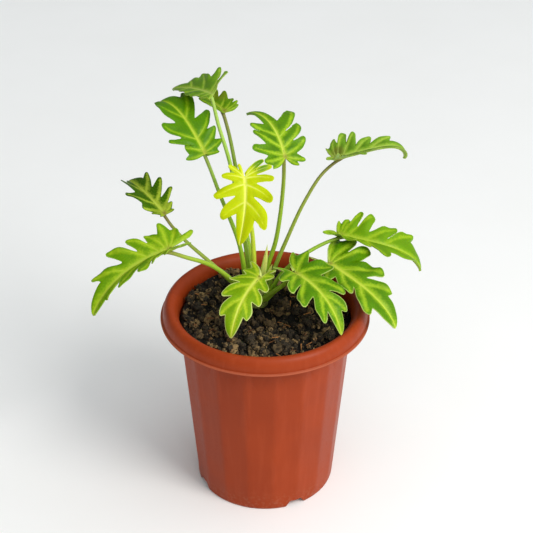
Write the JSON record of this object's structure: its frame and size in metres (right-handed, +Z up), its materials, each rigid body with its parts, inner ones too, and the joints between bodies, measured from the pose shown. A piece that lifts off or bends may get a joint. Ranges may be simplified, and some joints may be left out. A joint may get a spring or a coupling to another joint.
{
  "type": "potted philodendron",
  "caption": "Potted philodendron: lobed green leaves and one golden leaf on long stalks, in dark potting mix in a round terracotta-coloured plastic pot.",
  "frame": {"origin": "centre of the pot's foot, on the surface that the pot stands on", "axes": "+Z up along the pot's axis, -Y towards the front, where the golden leaf hangs, +X to the right seen from the front"},
  "size_m": [0.2321, 0.1531, 0.3048],
  "materials": {
    "pot": "satin terracotta-coloured plastic",
    "soil": "dark crumbly potting mix of bark and peat",
    "crown": "green-brown living stem",
    "sheath": "pale young sheath",
    "stalk": "smooth olive-green stalk, brown-purple near the blade",
    "leaf_green": "satin lime-green leaf with yellow veins and a pale edge",
    "leaf_dark": "satin mid-green leaf with yellow veins",
    "leaf_gold": "satin golden-yellow young leaf"
  },
  "bodies": {
    "root": {"pot": "pot", "soil": "soil", "crown": "crown", "sheath": "sheath", "stalk_top": "stalk", "blade_top": "leaf_green", "stalk_back": "stalk", "blade_back": "leaf_green", "stalk_upper_left": "stalk", "blade_upper_left": "leaf_green", "stalk_upper_middle": "stalk", "blade_upper_middle": "leaf_green", "stalk_upper_right": "stalk", "blade_upper_right": "leaf_green", "stalk_left": "stalk", "blade_left": "leaf_dark", "stalk_lower_left": "stalk", "blade_lower_left": "leaf_green", "stalk_young_gold": "stalk", "blade_young_gold": "leaf_gold", "stalk_front": "stalk", "blade_front": "leaf_green", "stalk_front_right": "stalk", "blade_front_right": "leaf_green", "stalk_lower_right": "stalk", "blade_lower_right": "leaf_green", "stalk_right": "stalk", "blade_right": "leaf_green"}
  },
  "joints": []
}
